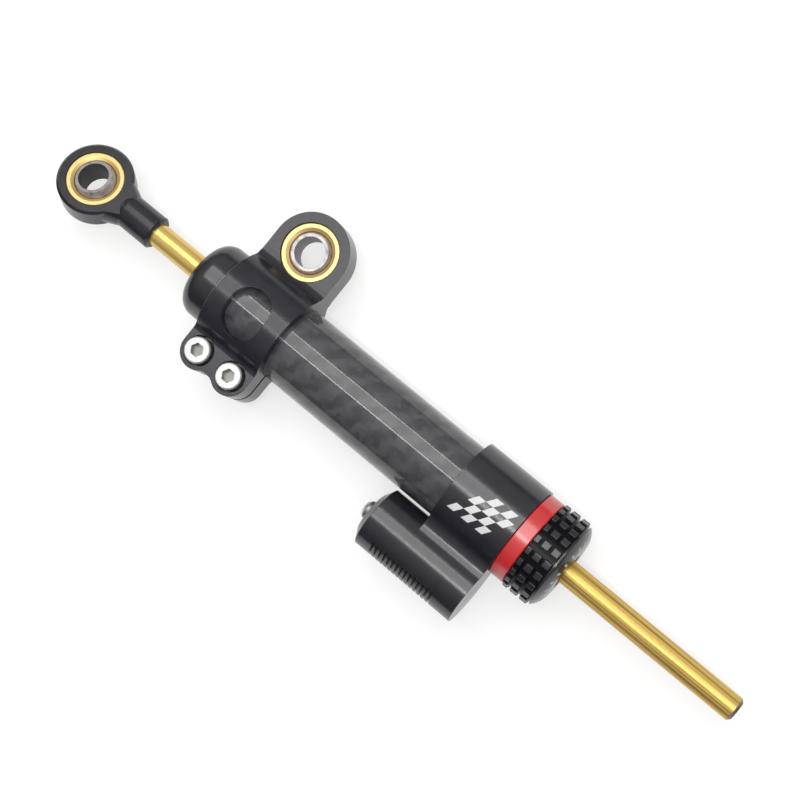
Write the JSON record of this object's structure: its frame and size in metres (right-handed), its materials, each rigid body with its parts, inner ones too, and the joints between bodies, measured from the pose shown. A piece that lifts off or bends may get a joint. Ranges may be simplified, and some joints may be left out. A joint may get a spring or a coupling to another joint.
{
  "type": "steering damper",
  "caption": "Motorcycle steering damper: through rod in a carbon fibre tube, clamp bracket and rod end with spherical bearings, side oil reservoir and click adjuster knob.",
  "frame": {"origin": "centre of the spherical bearing in the clamp bracket's lug", "axes": "+X along the damper towards the adjuster knob, +Y from the damper tube to the clamp bracket's bearing, +Z along the bore of that bearing"},
  "size_m": [0.2709, 0.073, 0.033],
  "materials": {
    "carbon_fibre": "carbon fibre twill under a gloss clear coat",
    "black_anodised": "black anodised, satin",
    "red_anodised": "red anodised, satin gloss",
    "bare_aluminium": "hard anodised and honed",
    "gold_rod": "ground and gold titanium nitride coated",
    "gold_race": "fine turned",
    "bearing_steel": "ground bearing steel, lightly worn",
    "screw_steel": "zinc plated, satin",
    "spring_steel": "bright wire",
    "bush_bronze": "sintered bronze",
    "guide_plastic": "filled PTFE",
    "seal_rubber": "nitrile rubber, matt"
  },
  "bodies": {
    "damper_body": {"carbon_tube": "carbon_fibre", "inner_cylinder": "bare_aluminium", "end_cap": "black_anodised", "front_seal": "seal_rubber", "front_bush": "bush_bronze", "front_wiper": "seal_rubber", "end_cap_seal": "seal_rubber", "rear_gland": "bare_aluminium", "rear_seal": "seal_rubber", "rear_bush": "bush_bronze", "rear_gland_seal": "seal_rubber", "housing": "black_anodised", "collar_ring": "red_anodised", "detent_ball": "bearing_steel", "detent_spring": "spring_steel", "reservoir_cap": "black_anodised", "reservoir_cap_seal": "seal_rubber", "filler_screw": "screw_steel", "filler_washer": "seal_rubber"},
    "reservoir_piston": {"floating_piston": "bare_aluminium", "floating_piston_seal": "seal_rubber"},
    "adjuster": {"adjuster_knob": "black_anodised", "knob_wiper": "seal_rubber", "adjuster_sleeve": "bare_aluminium", "sleeve_seal": "seal_rubber"},
    "clamp": {"clamp_bracket": "black_anodised", "clamp_screws": "screw_steel", "clamp_race": "gold_race"},
    "clamp_bearing": {"clamp_ball": "bearing_steel"},
    "piston_guide": {"piston_band": "guide_plastic"},
    "rod": {"piston_rod": "gold_rod", "piston": "bare_aluminium", "piston_clips": "spring_steel", "rod_end_eye": "black_anodised", "rod_end_race": "gold_race"},
    "rod_end_bearing": {"rod_end_ball": "bearing_steel"}
  },
  "joints": [
    {"name": "rod_slide", "type": "slide", "parent": "damper_body", "child": "piston_guide", "axis": [1, 0, 0], "range_m": [-0.048, 0.015]},
    {"name": "rod_spin", "type": "hinge", "parent": "piston_guide", "child": "rod", "pos_m": [0, -0.02595, 0], "axis": [1, 0, 0], "continuous": true},
    {"name": "rod_end_tilt", "type": "hinge", "parent": "rod", "child": "rod_end_bearing", "pos_m": [-0.0716, -0.02595, 0], "axis": [0, 0.9553, -0.2957], "range_deg": [-6, 24]},
    {"name": "clamp_slide", "type": "slide", "parent": "damper_body", "child": "clamp", "axis": [1, 0, 0], "range_m": [-0.0015, 0.045]},
    {"name": "clamp_bearing_tilt", "type": "hinge", "parent": "clamp", "child": "clamp_bearing", "pos_m": [0, 0, 0], "axis": [0, 1, 0], "range_deg": [-15, 15]},
    {"name": "adjuster_turn", "type": "hinge", "parent": "damper_body", "child": "adjuster", "pos_m": [0, -0.02595, 0], "axis": [1, 0, 0], "range_deg": [-160, 160]},
    {"name": "reservoir_piston_slide", "type": "slide", "parent": "damper_body", "child": "reservoir_piston", "axis": [1, 0, 0], "range_m": [-0.006, 0.006]}
  ]
}
